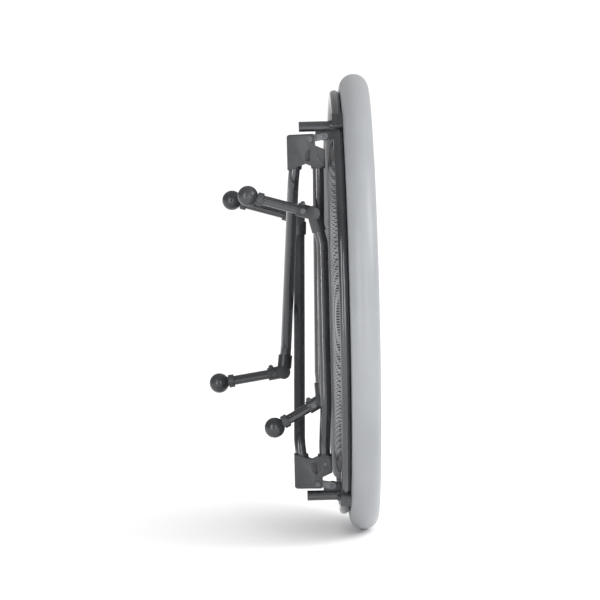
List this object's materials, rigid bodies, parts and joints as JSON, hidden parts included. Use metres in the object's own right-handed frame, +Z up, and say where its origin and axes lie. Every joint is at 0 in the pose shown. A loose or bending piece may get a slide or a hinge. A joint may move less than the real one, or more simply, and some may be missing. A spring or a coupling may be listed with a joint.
{
  "type": "folding chair",
  "caption": "Round padded folding chair, folded flat on its rim, with a mesh-backed dished seat and two tube leg frames with ball feet that swing square to the seat.",
  "frame": {"origin": "on the surface that the folded chair's rim stands on, below the middle of the whole folded chair", "axes": "+X is the seat's front, the side that is sat on; Y runs across the seat from the front legs (-Y) to the rear legs (+Y); +Z is up, towards the chair's left side"},
  "size_m": [0.33, 0.9099, 0.91],
  "materials": {
    "pad_cover": "smooth satin light grey cover",
    "spacer_mesh": "knitted grey spacer mesh",
    "binding": "black woven binding tape",
    "painted_tube": "dark grey gloss powder coat",
    "painted_steel": "dark grey powder coat",
    "moulded_nylon": "dark grey moulded nylon",
    "fastener": "zinc plated steel",
    "foot_rubber": "dark grey satin rubber"
  },
  "bodies": {
    "seat": {"left_clamp": "painted_steel", "left_clamp_bolts": "fastener", "left_clamp_cap": "painted_steel", "left_hub_pin": "fastener", "left_link_pin": "fastener", "left_links": "painted_steel", "left_post": "painted_tube", "left_post_plug": "moulded_nylon", "mesh_back_pad": "spacer_mesh", "right_clamp": "painted_steel", "right_clamp_bolts": "fastener", "right_clamp_cap": "painted_steel", "right_hub_pin": "fastener", "right_link_pin": "fastener", "right_links": "painted_steel", "right_post": "painted_tube", "right_post_plug": "moulded_nylon", "rim_bolster": "pad_cover", "ring_plugs": "moulded_nylon", "ring_tube_front": "painted_tube", "ring_tube_rear": "painted_tube", "seat_cushion": "pad_cover", "sling_hem": "binding"},
    "left_leg_frame": {"left_front_ball_foot": "foot_rubber", "left_front_foot_collar": "moulded_nylon", "left_front_foot_knuckle": "moulded_nylon", "left_front_foot_pin": "fastener", "left_front_foot_tube": "painted_tube", "left_front_leg": "painted_tube", "left_hub": "moulded_nylon", "left_hub_rivets": "fastener", "left_rear_ball_foot": "foot_rubber", "left_rear_foot_collar": "moulded_nylon", "left_rear_foot_knuckle": "moulded_nylon", "left_rear_foot_pin": "fastener", "left_rear_foot_tube": "painted_tube", "left_rear_leg": "painted_tube"},
    "right_leg_frame": {"right_front_ball_foot": "foot_rubber", "right_front_foot_collar": "moulded_nylon", "right_front_foot_knuckle": "moulded_nylon", "right_front_foot_pin": "fastener", "right_front_foot_tube": "painted_tube", "right_front_leg": "painted_tube", "right_hub": "moulded_nylon", "right_hub_rivets": "fastener", "right_rear_ball_foot": "foot_rubber", "right_rear_foot_collar": "moulded_nylon", "right_rear_foot_knuckle": "moulded_nylon", "right_rear_foot_pin": "fastener", "right_rear_foot_tube": "painted_tube", "right_rear_leg": "painted_tube"}
  },
  "joints": [
    {"name": "left_leg_fold", "type": "hinge", "parent": "seat", "child": "left_leg_frame", "pos_m": [0.042, -0.19906, 0.794], "axis": [0, 1, 0], "range_deg": [0, 90]},
    {"name": "right_leg_fold", "type": "hinge", "parent": "seat", "child": "right_leg_frame", "pos_m": [0.042, -0.19906, 0.116], "axis": [0, -1, 0], "range_deg": [0, 90]}
  ],
  "couplings": [
    {"joint": "right_leg_fold", "follows": "left_leg_fold", "ratio": 1}
  ]
}
